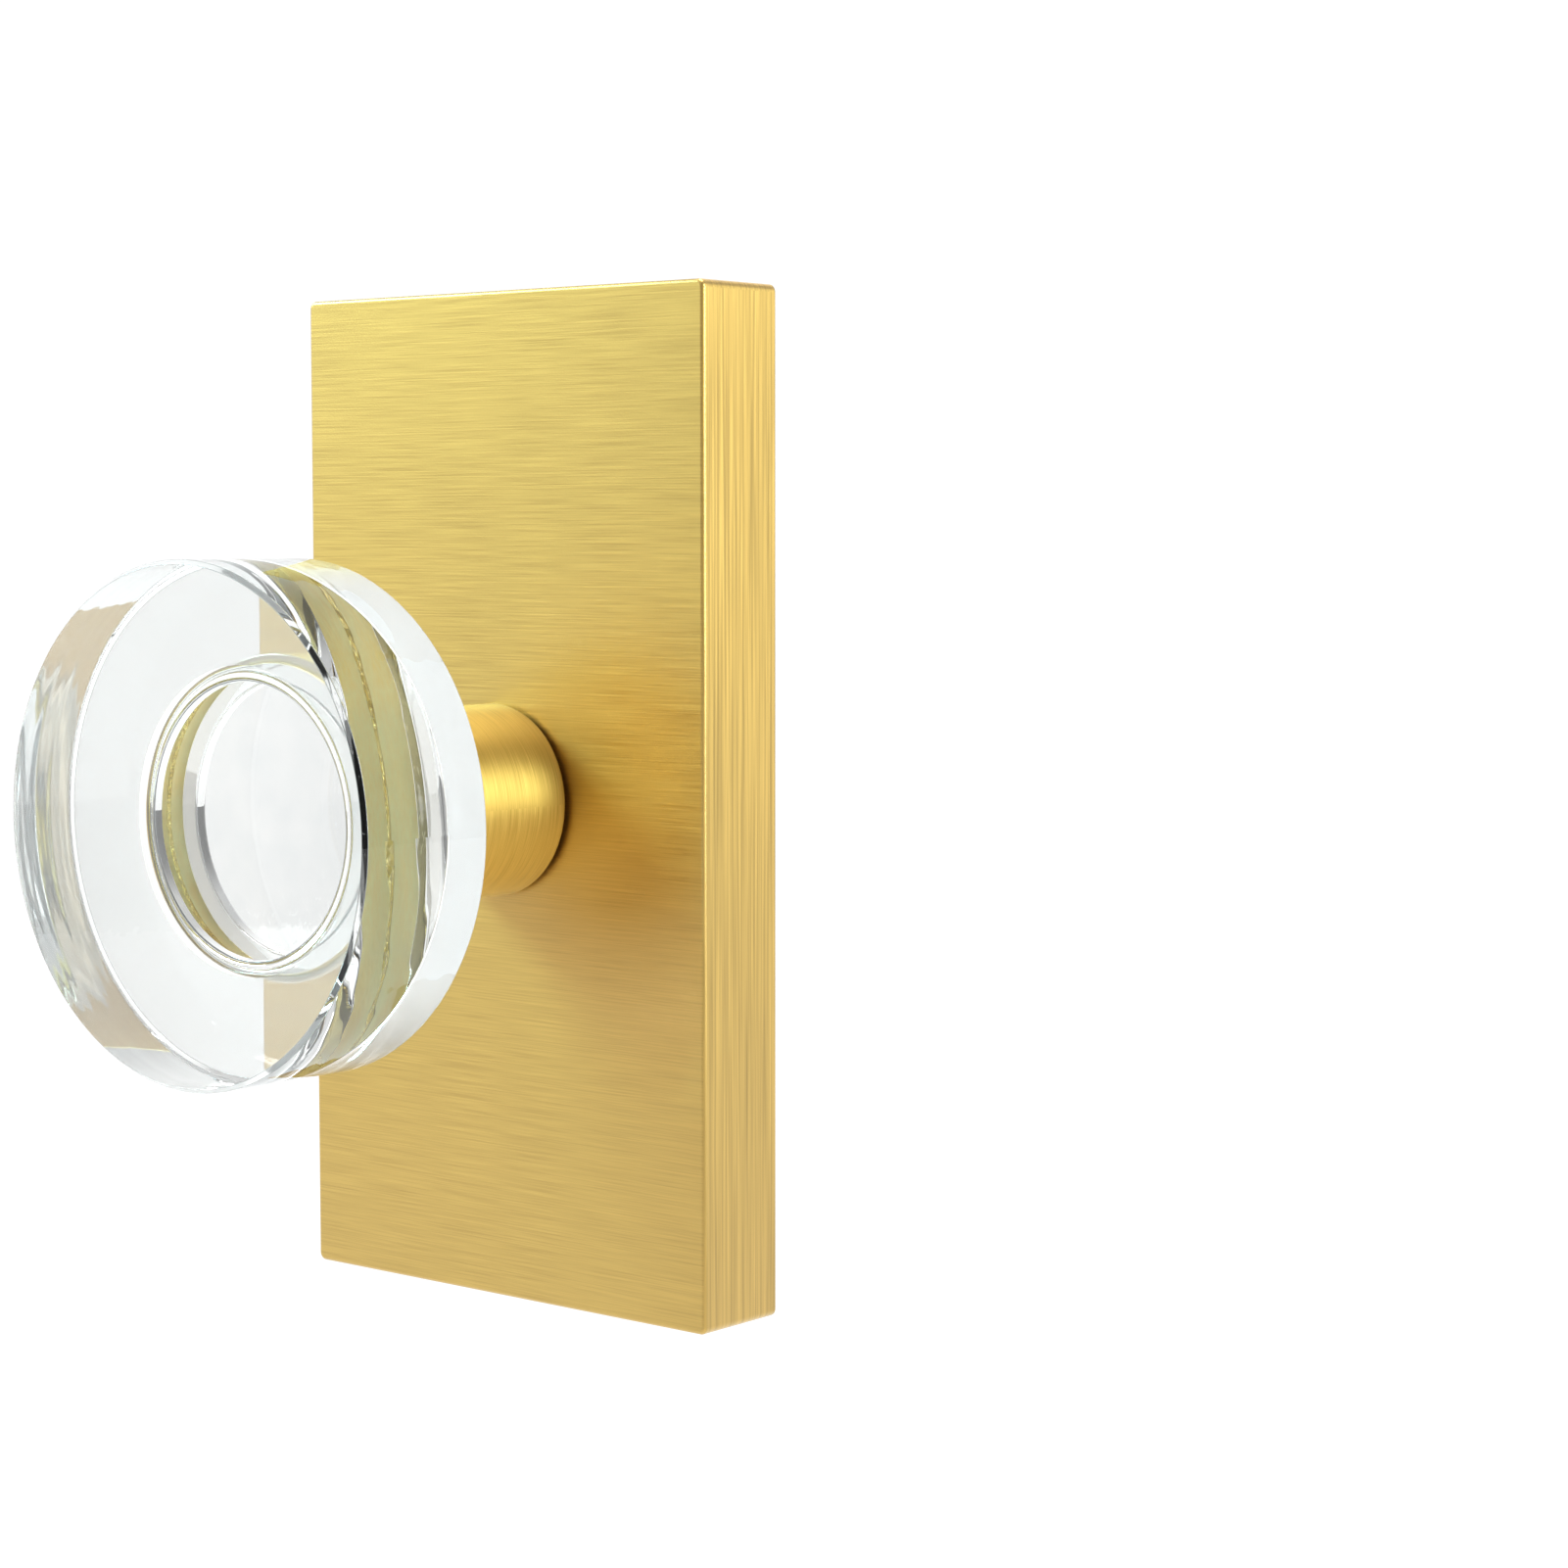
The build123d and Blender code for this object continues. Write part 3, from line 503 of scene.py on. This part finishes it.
def tempered_steel():
    """Oil-tempered spring steel: dark, slightly blue, with a dry film."""
    paint, tree, shader = finish("tempered_steel", Metallic=1.0)
    cloud = clouds(tree, object_place(tree), 380.0, 3.0)
    colour = tint(tree, spread(tree, cloud, *CLOSE_SPAN, 0, 1), (0.10, 0.11, 0.13), (0.27, 0.28, 0.31))
    dress(tree, shader, colour, spread(tree, cloud, *CLOSE_SPAN, 0.28, 0.5))
    return paint


def black_oxide():
    """Blackened screw steel with worn, brighter patches."""
    paint, tree, shader = finish("black_oxide", Metallic=0.9)
    worn = clouds(tree, object_place(tree), 700.0, 4.0)
    colour = tint(tree, spread(tree, worn, 0.5, 0.75, 0, 1), (0.02, 0.02, 0.022), (0.16, 0.155, 0.15))
    dress(tree, shader, colour, spread(tree, worn, *WIDE_SPAN, 0.5, 0.32))
    return paint


def moulded_nylon():
    """Natural white nylon: slightly waxy and mottled, with a fine moulded texture."""
    paint, tree, shader = finish("moulded_nylon", Subsurface_Weight=0.15, Subsurface_Scale=0.001)
    place = object_place(tree)
    mottle = clouds(tree, place, 260.0, 3.0)
    pit = clouds(tree, place, 3800.0)
    colour = tint(tree, spread(tree, mottle, *CLOSE_SPAN, 0, 1), (0.80, 0.79, 0.74), (0.90, 0.90, 0.87))
    dress(tree, shader, colour, spread(tree, mottle, *CLOSE_SPAN, 0.38, 0.52), (0.15, 0.05 * MM, pit))
    return paint


FRONT_BRASS = brushed_brass("front_brass", 80.0, 5600.0, (0.475, 0.302, 0.062), (0.64, 0.410, 0.094))
SIDE_BRASS = brushed_brass("side_brass", 30.0, 3000.0, (0.39, 0.250, 0.050), (0.70, 0.460, 0.113))
NECK_BRASS = brushed_brass("neck_brass", 70.0, 8500.0, (0.64, 0.44, 0.095), (0.95, 0.68, 0.18), 0.10)
# The polished cup: lathe rings, whose swing in colour from near black to pale gold is painted
# reflection, dark and bright surroundings mirrored in the brass laid into its colour.
CUP_BRASS_PAINTED_REFLECTIONS = brushed_brass(
    "cup_brass_painted_reflections", 8.0, 1500.0, (0.20, 0.18, 0.13), (0.95, 0.86, 0.64), 0.05, (0.08, 0.16), 0.12 * MM
)
GLASS = clear_glass("clear_glass", (0.985, 0.995, 0.985))
GLASS_WALL = clear_glass("glass_wall", (0.985, 0.995, 0.985), wave=(8.0, 230.0, 0.09 * MM))
GLASS_BACK = clear_glass("glass_back", (1.0, 0.995, 0.985), haze=0.42)
# Painted dark rim line: dark grey glass on the rim's roundings stands for the dark reflections that a
# polished glass edge shows.
RIM_GLASS_PAINTED_DARK = clear_glass("rim_glass_painted_dark", (0.42, 0.45, 0.44), haze=0.25)
SILVER = silvering()
RESIN = gold_resin("gold_resin", (1.0, 0.80, 0.30), (1.0, 0.95, 0.54), (0.45, 0.60), 0.02 * MM)
GLITTER = gold_resin("gold_glitter", (0.70, 0.46, 0.07), (1.0, 0.88, 0.38), (0.10, 0.30), 0.25 * MM)
STEEL = turned_steel()
BAR = drawn_steel()
ZINC = zinc_sheet()
SPRING = tempered_steel()
BLACK = black_oxide()
NYLON = moulded_nylon()

# ---------------------------------------------------------------- glass knob


def glass_knob():
    """The disc with its waisted foot. Its seat and end face show the resin and the silvering."""
    profile = rounded_profile(
        [
            (0, FOOT_END, 0),
            (FOOT_R - FOOT_BEVEL, FOOT_END, GLASS_ARRIS),
            (FOOT_R, FOOT_END + FOOT_BEVEL, GLASS_ARRIS),
            (FOOT_R, FOOT_END + FOOT_SEAT, GLASS_ARRIS),
            (WAIST_R, FOOT_END + FOOT_SEAT + WAIST_SLOPE, WAIST_ROUND),
            (WAIST_R, BACK_OF_GLASS, WAIST_FILLET),
            (GLASS_R - GLASS_BEVEL, BACK_OF_GLASS, GLASS_ARRIS),
            (GLASS_R, BACK_OF_GLASS + GLASS_BEVEL, GLASS_ARRIS),
            (GLASS_R, GLASS_FRONT - GLASS_BEVEL, GLASS_ARRIS),
            (GLASS_R - GLASS_BEVEL, GLASS_FRONT, GLASS_ARRIS),
            (0, GLASS_FRONT, 0),
        ]
    )
    piece = turned("clear_knob", profile, GLASS, solid=True)
    mesh = piece.data
    for paint in (RESIN, SILVER, GLASS_WALL, GLASS_BACK, GLITTER, RIM_GLASS_PAINTED_DARK):
        mesh.materials.append(paint)
    middle = face_values(mesh, "center")
    radius = np.hypot(middle[:, 0], middle[:, 2])
    out = -middle[:, 1]
    edge = (out < FOOT_END + FOOT_BEVEL) & (radius > FOOT_R - FOOT_BEVEL - GLASS_ARRIS)
    seat = (out < FOOT_END + FOOT_SEAT) & (radius > FOOT_R - GLASS_ARRIS / 2) & ~edge
    end = (out < FOOT_END + GLASS_ARRIS / 4) & ~edge
    hair = GLASS_ARRIS / 20
    wall = radius > GLASS_R - hair
    back = (np.abs(out - BACK_OF_GLASS) < hair) & ~wall
    # neither flat, nor upright, nor on a bevel at 45 degrees: on one of the roundings between them
    lean = np.abs(face_values(mesh, "normal")[:, 1])
    turning = (lean > 0.02) & (lean < 0.999) & (np.abs(lean - math.sqrt(0.5)) > 0.02)
    # The roundings near the rim take the dark grey glass, a painted dark line along the rim.
    painted_dark_rim = turning & (radius > GLASS_R - GLASS_BEVEL - GLASS_ARRIS)
    slot = np.select([end, seat, painted_dark_rim, wall, back, edge], [2, 1, 6, 3, 4, 5], 0).astype(np.int32)
    mesh.polygons.foreach_set("material_index", slot)
    return piece


knob = glass_knob()
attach(knob, "knob")
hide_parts("glass_knob")

# ---------------------------------------------------------------- silvering and bond

mirror = turned(
    "silver_disc",
    rounded_profile(
        [
            (0, CUP_FLOOR, 0),
            (mirror_high.x, CUP_FLOOR, 0.02 * MM),
            (mirror_high.x, FOOT_END - THIN_GAP, 0.02 * MM),
            (0, FOOT_END - THIN_GAP, 0),
        ]
    ),
    SILVER,
    solid=True,
)
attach(mirror, "knob")
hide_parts("mirror_backing")

bond = turned(
    "resin_ring",
    rounded_profile(
        [
            (FOOT_R + THIN_GAP, CUP_FLOOR + THIN_GAP, 0.02 * MM),
            (CUP_R - THIN_GAP, CUP_FLOOR + THIN_GAP, 0.02 * MM),
            (CUP_R - THIN_GAP, -bond_low.y, 0.02 * MM),
            (FOOT_R + THIN_GAP, -bond_low.y, 0.05 * MM),
        ],
        closed=True,
    ),
    RESIN,
)
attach(bond, "knob")
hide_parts("bond_ring")

# ---------------------------------------------------------------- neck

neck = turned(
    "brass_neck",
    rounded_profile(
        [
            (SHANK_R + NECK_BORE_GAP, NECK_START, 2 * EDGE_ROUND),
            (NECK_R, NECK_START, NECK_END_ROUND),
            (NECK_R, CUP_FLOOR - CUP_FLOOR_THICK, NECK_JOIN_ROUND),
            (CUP_OUTER_R, CUP_FLOOR - CUP_FLOOR_THICK, CUP_ROUND),
            (CUP_OUTER_R, CUP_RIM, CUP_LIP_ROUND),
            (CUP_R + TOUCH_GAP, CUP_RIM, CUP_LIP_ROUND),
            (CUP_R + TOUCH_GAP, CUP_FLOOR, EDGE_ROUND),
            (SCREW_HEAD_R, CUP_FLOOR, EDGE_ROUND / 2),
            (SCREW_R, CUP_FLOOR - SCREW_HEAD, EDGE_ROUND),
            (SCREW_R, SHANK_TOP + TOUCH_GAP, EDGE_ROUND),
            (SHANK_R + NECK_BORE_GAP, SHANK_TOP + TOUCH_GAP, EDGE_ROUND),
        ],
        closed=True,
    ),
    NECK_BRASS,
)
# The cup's faces take the brass with painted reflection bands in its colour.
neck.data.materials.append(CUP_BRASS_PAINTED_REFLECTIONS)
middle = face_values(neck.data, "center")
on_cup = np.hypot(middle[:, 0], middle[:, 2]) > CUP_OUTER_R - CUP_ROUND
neck.data.polygons.foreach_set("material_index", on_cup.astype(np.int32))
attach(neck, "knob")
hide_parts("neck")

# ---------------------------------------------------------------- cover plate


def cover_plate():
    """A tray in one closed skin: rim, sides, bevel, front, hole and the inner walls.

    Each ring is a rounded rectangle drawn in by an inset, at its own distance out; the rings
    of the hole are circles met along the same directions. The grain follows x on the front,
    and on the sides the way round, with the distance out across it.
    """
    edge = rounded_profile(
        [
            (PLATE_SIDE_WALL, 0, EDGE_ROUND),
            (0, 0, PLATE_BACK_EDGE),
            (0, PLATE_DEPTH, PLATE_BEVEL),
            (4 * PLATE_CORNER_R, PLATE_DEPTH, 0),
        ]
    )
    outer_width, outer_height = PLATE_HALF_WIDTH, PLATE_HALF_HEIGHT
    rings = []
    for inset, out in edge:
        radius = max(PLATE_CORNER_R - inset, PLATE_INNER_R / 2)
        flat = rounded_rectangle(outer_width - inset, outer_height - inset, radius)
        rings.append((flat, out))
    front_ring = rings[-1][0]
    aim = front_ring / np.linalg.norm(front_ring, axis=1, keepdims=True)
    inside = PLATE_DEPTH - PLATE_FRONT_WALL
    hole = rounded_profile(
        [
            (BUSH_SEAT_R + 3 * HOLE_LIP, PLATE_DEPTH, 0),
            (BUSH_SEAT_R, PLATE_DEPTH, HOLE_LIP),
            (BUSH_SEAT_R, inside, HOLE_LIP),
            (BUSH_SEAT_R + 3 * HOLE_LIP, inside, 0),
        ]
    )
    rings += [(aim * radius, out) for radius, out in hole]
    wall = rounded_profile(
        [
            (PLATE_SIDE_WALL + 2 * PLATE_CORNER_R, inside, 0),
            (PLATE_SIDE_WALL, inside, PLATE_INNER_R / 2),
            (PLATE_SIDE_WALL, EDGE_ROUND, 0),
        ]
    )
    for inset, out in wall[:-1]:
        flat = rounded_rectangle(outer_width - inset, outer_height - inset, PLATE_INNER_R / 2)
        rings.append((flat, out))
    flats = np.stack([flat for flat, _ in rings])
    outs = np.array([out for _, out in rings])
    points = np.stack([flats[..., 0], -outs[:, None] + 0 * flats[..., 0], flats[..., 1]], -1)
    count, steps = flats.shape[:2]
    wrapped = np.concatenate([flats, flats[:, :1]], axis=1)
    way = np.linalg.norm(np.diff(wrapped[2], axis=0), axis=1)
    way = np.concatenate([[0], np.cumsum(way)])
    uv = np.zeros((count, 2, steps + 1, 2))
    for edge_of_strip in (0, 1):
        ring = (np.arange(count) + edge_of_strip) % count
        uv[:, edge_of_strip, :, 0] = wrapped[ring, :, 0]
        uv[:, edge_of_strip, :, 1] = wrapped[ring, :, 1]
    for strip in range(count):
        after = (strip + 1) % count
        if abs(outs[strip] - outs[after]) > 0.6 * np.abs(flats[strip] - flats[after]).max():
            uv[strip, 0] = np.stack([way, outs[strip] + 0 * way], -1)
            uv[strip, 1] = np.stack([way, outs[after] + 0 * way], -1)
    piece = skin("brass_plate", points, uv, FRONT_BRASS)
    piece.data.materials.append(SIDE_BRASS)
    upright = np.abs(face_values(piece.data, "normal")[:, 1]) < 0.3
    piece.data.polygons.foreach_set("material_index", upright.astype(np.int32))
    return piece


plate = cover_plate()
screw_low, screw_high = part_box("cover_set_screw")
screw_out = -(screw_low.y + screw_high.y) / 2
screw_hole_r = (screw_high.x - screw_low.x) / 2 + SCREW_CLEARANCE


def hole_cutter():
    """An upright round bar across the lower wall of the plate."""
    angle = np.linspace(0, 2 * math.pi, HOLE_SIDES, endpoint=False)
    heights = -PLATE_HALF_HEIGHT + np.array([-CUT_PAST, PLATE_SIDE_WALL + CUT_PAST])
    rings = np.stack(
        [
            screw_hole_r * np.cos(angle) + 0 * heights[:, None],
            screw_hole_r * np.sin(angle) - screw_out + 0 * heights[:, None],
            heights[:, None] + 0 * angle,
        ],
        -1,
    )
    uv = np.zeros((1, 2, HOLE_SIDES + 1, 2))
    uv[..., 0] = np.linspace(0, 2 * math.pi * screw_hole_r, HOLE_SIDES + 1)
    uv[0, 1, :, 1] = heights[1] - heights[0]
    caps = [(0, -screw_out, heights[0]), (0, -screw_out, heights[1])]
    return skin("hole_cutter", rings, uv, SIDE_BRASS, caps=caps)


cut(plate, hole_cutter())
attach(plate, "rose")
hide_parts("cover_plate")

# ---------------------------------------------------------------- return spring


def return_spring():
    """A coil of round wire with both ends bent over, one into the plate and one into the hub.

    The centre line's angle grows evenly with its distance out, and each bend is a parabola
    between the coil and its straight end. Rings of the wire stand on the radius to the axis.
    """
    spots = np.array([v.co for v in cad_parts["return_spring"].data.vertices])
    foot = spots[spots[:, 1] > -COIL_START + 2 * WIRE_R].mean(axis=0)
    head = spots[spots[:, 1] < -COIL_END - 2 * WIRE_R].mean(axis=0)
    first = math.atan2(foot[2], foot[0])
    gap = math.atan2(head[2], head[0]) - first
    sweep = 2 * math.pi * COIL_TURNS
    if abs(math.cos(gap - sweep) - 1) > 0.01:
        sweep = -sweep
    bend = WIRE_BEND / (COIL_R * abs(sweep))
    share = np.linspace(bend, 1 - bend, COIL_POINTS)
    angle = first + sweep * share
    out = COIL_START + (COIL_END - COIL_START) * share
    coil = np.stack([COIL_R * np.cos(angle), -out, COIL_R * np.sin(angle)], -1)
    t = np.linspace(0, 1, BEND_POINTS)[:, None]
    ends = []
    for turned_by, corner_out, tip_out, side, near in (
        (first, COIL_START, -wire_high.y, -1, coil[0]),
        (first + sweep, COIL_END, -wire_low.y, 1, coil[-1]),
    ):
        x, z = COIL_R * math.cos(turned_by), COIL_R * math.sin(turned_by)
        corner = np.array([x, -corner_out, z])
        straight = np.array([x, -corner_out - side * WIRE_BEND, z])
        tip = np.array([[x, -tip_out, z]])
        arc = (1 - t) ** 2 * straight + 2 * t * (1 - t) * corner + t**2 * near
        ends.append(np.concatenate([tip, arc[:-1]]))
    line = np.concatenate([ends[0], coil, ends[1][::-1]])
    run = np.gradient(line, axis=0)
    run /= np.linalg.norm(run, axis=1, keepdims=True)
    across = line * np.array([1, 0, 1])
    across -= run * np.sum(across * run, axis=1, keepdims=True)
    across /= np.linalg.norm(across, axis=1, keepdims=True)
    other = np.cross(run, across)
    turn = np.linspace(0, 2 * math.pi, WIRE_SIDES, endpoint=False)[None, :, None]
    rings = line[:, None] + WIRE_R * (across[:, None] * np.cos(turn) + other[:, None] * np.sin(turn))
    length = np.concatenate([[0], np.cumsum(np.linalg.norm(np.diff(line, axis=0), axis=1))])
    uv = np.zeros((len(line) - 1, 2, WIRE_SIDES + 1, 2))
    uv[..., 0] = np.linspace(0, 2 * math.pi * WIRE_R, WIRE_SIDES + 1)
    uv[:, 0, :, 1] = length[:-1, None]
    uv[:, 1, :, 1] = length[1:, None]
    return skin("spring_wire", rings, uv, SPRING, caps=(line[0], line[-1]))


spring = return_spring()
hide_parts("return_spring")
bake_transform(spring)

# ---------------------------------------------------------------- finishes of the CAD nodes

NODE_FINISH = {
    "mounting_plate": ZINC,
    "spring_housing": ZINC,
    "housing_rivets": STEEL,
    "stop_pins": BAR,
    "post_lower": BAR,
    "post_upper": BAR,
    "front_bush": NYLON,
    "rear_bush": NYLON,
    "thrust_washer": NYLON,
    "drive_hub": STEEL,
    "cover_set_screw": BLACK,
    "neck_screw": BLACK,
    "shank": STEEL,
    "spindle": BAR,
    "spindle_pin": STEEL,
    "rear_washer": STEEL,
    "disc_spring": SPRING,
    "circlip": SPRING,
}
for node, paint in NODE_FINISH.items():
    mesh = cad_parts[node].data
    mesh.materials.clear()
    mesh.materials.append(paint)

# ---------------------------------------------------------------- floor, light and camera

FLOOR_DROP = 0.30
FLOOR_R = 3.0
FLOOR_SIDES = 64
FLOOR_SHADE = 0.35
FLOOR_GLOW = 0.80
ROOM_SHADE = 0.62


def pale_floor():
    """A plain white disc well below the part."""
    paint, tree, shader = finish("pale_floor", Base_Color=(*[FLOOR_SHADE] * 3, 1), Roughness=0.8)
    shader.inputs["Emission Color"].default_value = (1, 1, 1, 1)
    shader.inputs["Emission Strength"].default_value = FLOOR_GLOW
    angle = np.linspace(0, 2 * math.pi, FLOOR_SIDES, endpoint=False)
    low = -PLATE_HALF_HEIGHT - FLOOR_DROP
    points = np.stack([FLOOR_R * np.cos(angle), FLOOR_R * np.sin(angle), low + 0 * angle], -1)
    mesh = bpy.data.meshes.new("pale_floor")
    mesh.from_pydata(points.tolist(), [], [list(range(FLOOR_SIDES))])
    mesh.materials.append(paint)
    floor = bpy.data.objects.new("pale_floor", mesh)
    bpy.context.scene.collection.objects.link(floor)


pale_floor()


def studio():
    """A white room: bright walls about three directions, and darker gaps between its panels.

    Each lobe is a cone about a direction that fades between two half-angles. Walls add their
    light to the room's, and gaps then take a share of it away.
    """
    world = bpy.data.worlds.new("studio")
    bpy.context.scene.world = world
    world.use_nodes = True
    tree = world.node_tree
    out = tree.nodes["Background"]
    place = add(tree, "ShaderNodeTexCoord").outputs["Generated"]

    def lobe(aim, inner, outer, at_rim, at_middle):
        aim = Vector(aim).normalized()
        dot = add(tree, "ShaderNodeVectorMath", {"operation": "DOT_PRODUCT"}, i0=place, i1=aim)
        rim, middle = math.cos(math.radians(outer)), math.cos(math.radians(inner))
        return spread(tree, dot.outputs["Value"], rim, middle, at_rim, at_middle)

    walls = [
        ((-0.66, 0.75, -0.05), 28, 48, 0.42),
        ((-0.80, -0.46, 0.40), 10, 48, 0.58),
        ((0.75, 0.60, 0.10), 20, 50, 0.14),
    ]
    gaps = [
        ((0.67, -0.74, 0.10), 18, 42, 0.62),
        ((-0.35, -0.93, -0.05), 8, 28, 0.50),
        ((0.00, 0.30, 1.00), 8, 25, 0.55),
        ((-1.00, 0.08, 0.00), 2, 8, 0.60),
    ]
    shade = ROOM_SHADE
    for aim, inner, outer, gain in walls:
        shade = math_node(tree, "ADD", shade, lobe(aim, inner, outer, 0.0, gain))
    for aim, inner, outer, depth in gaps:
        shade = math_node(tree, "MULTIPLY", shade, lobe(aim, inner, outer, 1.0, 1.0 - depth))
    colour = add(tree, "ShaderNodeCombineColor", i0=shade, i1=shade, i2=shade)
    tree.links.new(colour.outputs[0], out.inputs["Color"])
    out.inputs["Strength"].default_value = 1.0


studio()


def softbox(name, place, aim, size, power, colour=(1, 1, 1)):
    """An area light at a place, turned to face aim, with its size in metres and power in watts."""
    lamp = bpy.data.lights.new(name, "AREA")
    lamp.shape = "RECTANGLE"
    lamp.size, lamp.size_y = size
    lamp.energy = power
    lamp.color = colour
    holder = bpy.data.objects.new(name, lamp)
    bpy.context.scene.collection.objects.link(holder)
    holder.location = place
    holder.rotation_euler = (Vector(aim) - Vector(place)).to_track_quat("-Z", "Y").to_euler()


softbox("left_panel", (-0.50, -0.25, 0.37), (0, 0, 0.02), (0.30, 0.20), 3.2, (0.55, 0.92, 1.0))
softbox("top_box", (0.00, 0.02, 0.58), (0, 0, 0), (0.45, 0.25), 3.6)
softbox("right_box", (0.573, 0.07, 0.165), (0, 0, 0), (0.12, 0.40), 3.4, (0.88, 0.98, 1.0))

CAMERA_AZIMUTH = 39.33
CAMERA_ELEVATION = 4.39
CAMERA_DISTANCE = 0.411
CAMERA_AIM = Vector((PLATE_HALF_WIDTH + 1.3 * MM, 0, 2.8 * MM))
CAMERA_LENS = 77.15

camera_data = bpy.data.cameras.new("camera")
camera_data.lens = CAMERA_LENS
camera_data.sensor_width = 36.0
camera_data.clip_start = 0.01
camera_data.clip_end = 20.0
camera = bpy.data.objects.new("camera", camera_data)
bpy.context.scene.collection.objects.link(camera)
turn, lift = math.radians(CAMERA_AZIMUTH), math.radians(CAMERA_ELEVATION)
back = Vector((math.sin(turn) * math.cos(lift), -math.cos(turn) * math.cos(lift), math.sin(lift)))
camera.location = CAMERA_AIM + back * CAMERA_DISTANCE
camera.rotation_euler = (-back).to_track_quat("-Z", "Y").to_euler()
bpy.context.scene.camera = camera
bpy.context.scene.view_settings.view_transform = "Standard"
